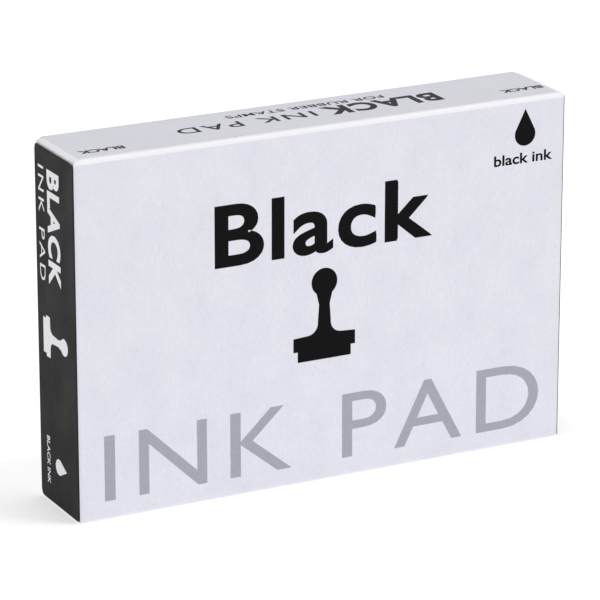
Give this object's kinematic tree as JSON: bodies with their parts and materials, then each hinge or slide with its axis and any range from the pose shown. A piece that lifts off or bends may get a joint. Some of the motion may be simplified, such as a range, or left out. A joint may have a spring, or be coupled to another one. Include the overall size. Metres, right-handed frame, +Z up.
{
  "type": "ink pad",
  "caption": "Hinged ink pad case with a cloth-covered felt pad, packed in a lift-off board carton that stands on a long narrow side.",
  "frame": {"origin": "centre of the footprint, on the surface that the carton stands on", "axes": "+Z up as the carton stands on its long narrow side; X along its length; the large printed panel faces -Y, the cover lifts off towards -Y"},
  "size_m": [0.13, 0.0224, 0.0886],
  "materials": {
    "carton_white": "satin",
    "carton_black": "satin",
    "carton_plain": "matte",
    "leaflet_paper": "matte",
    "case_plastic": "satin",
    "feet_rubber": "matte",
    "label_paper": "satin",
    "pin_steel": "satin",
    "tray_plastic": "matte",
    "backing_board": "matte",
    "inked_felt": "matte",
    "inked_cloth": "satin",
    "frame_plastic": "satin",
    "liner_plastic": "gloss",
    "gasket_foam": "matte",
    "catch_steel": "satin"
  },
  "bodies": {
    "tray": {"tray_board": "carton_plain", "instruction_leaflet": "leaflet_paper"},
    "cover": {"cover_board": "carton_white", "cover_end_left": "carton_black", "cover_end_right": "carton_black"},
    "case": {"case_base": "case_plastic", "base_feet": "feet_rubber", "base_label": "label_paper", "hinge_pins": "pin_steel", "pad_tray": "tray_plastic", "backing_board": "backing_board", "felt_reservoir": "inked_felt", "pad_cloth": "inked_cloth", "pad_frame": "frame_plastic"},
    "lid": {"case_lid": "case_plastic", "lid_liner": "liner_plastic", "lid_gasket": "gasket_foam", "lid_label": "label_paper", "lid_catch": "catch_steel"}
  },
  "joints": [
    {"name": "cover_lift", "type": "slide", "parent": "tray", "child": "cover", "axis": [0, -1, 0], "range_m": [0, 0.18]},
    {"name": "case_lift", "type": "slide", "parent": "tray", "child": "case", "axis": [0, -1, 0], "range_m": [0, 0.027]},
    {"name": "lid_hinge", "type": "hinge", "parent": "case", "child": "lid", "pos_m": [0, -0.003, 0.0846], "axis": [-1, 0, 0], "range_deg": [0, 103.2]}
  ],
  "couplings": [
    {"joint": "case_lift", "follows": "cover_lift", "ratio": 0.15},
    {"joint": "lid_hinge", "follows": "cover_lift", "rad_per_m": 10}
  ]
}
